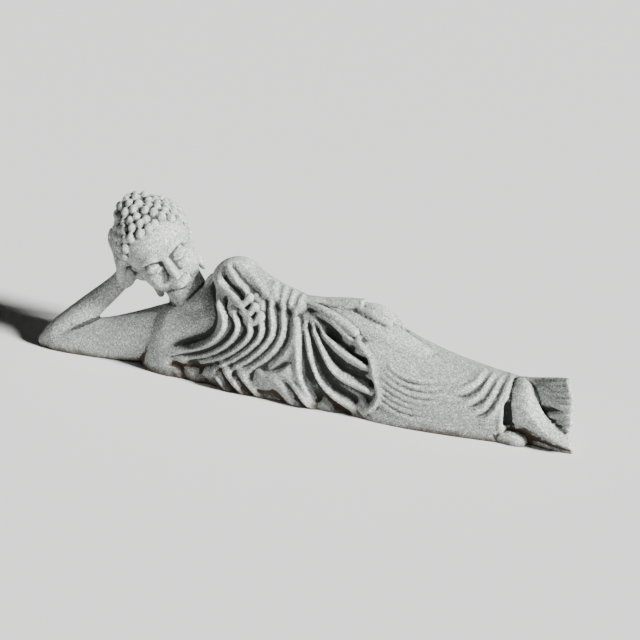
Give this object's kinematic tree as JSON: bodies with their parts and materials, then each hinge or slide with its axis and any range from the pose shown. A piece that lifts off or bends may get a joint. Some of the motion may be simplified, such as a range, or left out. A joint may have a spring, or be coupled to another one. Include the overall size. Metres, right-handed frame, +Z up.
{
  "type": "reclining buddha statue",
  "caption": "Small cast stone statue of a robed buddha figure lying on its side, its head propped on one hand, with a flat underside.",
  "frame": {"origin": "middle of the bounding box at the flat underside, where the statue meets the ground", "axes": "+X from the propping elbow to the feet, +Y to the figure's back, +Z up"},
  "size_m": [0.4118, 0.0666, 0.1264],
  "materials": {
    "cast_stone": "dry granular cast stone, rough, light grey with a green cast and brown dirt along the ground"
  },
  "bodies": {
    "root": {"reclining_figure": "cast_stone"}
  },
  "joints": []
}
